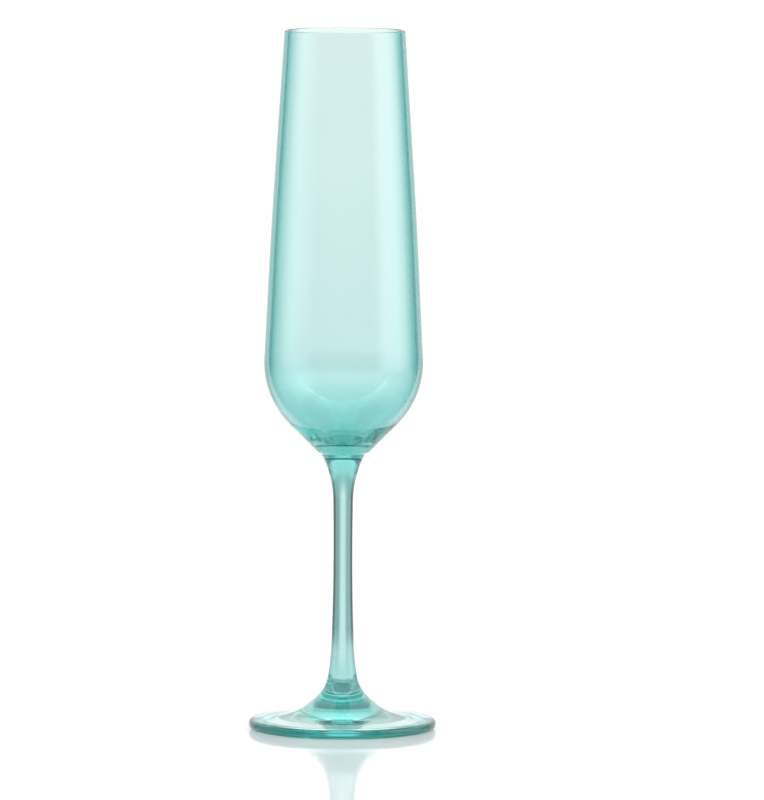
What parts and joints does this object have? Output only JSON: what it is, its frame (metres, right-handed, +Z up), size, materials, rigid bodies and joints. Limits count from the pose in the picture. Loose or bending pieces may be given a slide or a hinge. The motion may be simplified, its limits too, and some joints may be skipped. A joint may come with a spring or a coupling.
{
  "type": "champagne flute",
  "caption": "Tall tapered champagne flute: narrow-mouthed glass bowl with a conical base, slim solid stem and round flared foot.",
  "frame": {"origin": "centre of the foot, on the plane the foot stands on", "axes": "+Z up along the stem, which is the axis that every piece is turned about"},
  "size_m": [0.063, 0.063, 0.235],
  "materials": {
    "aqua_glass": "polished clear glass with a pale aqua tint, deeper at the edges"
  },
  "bodies": {
    "root": {"bowl": "aqua_glass", "stem": "aqua_glass", "foot": "aqua_glass"}
  },
  "joints": []
}
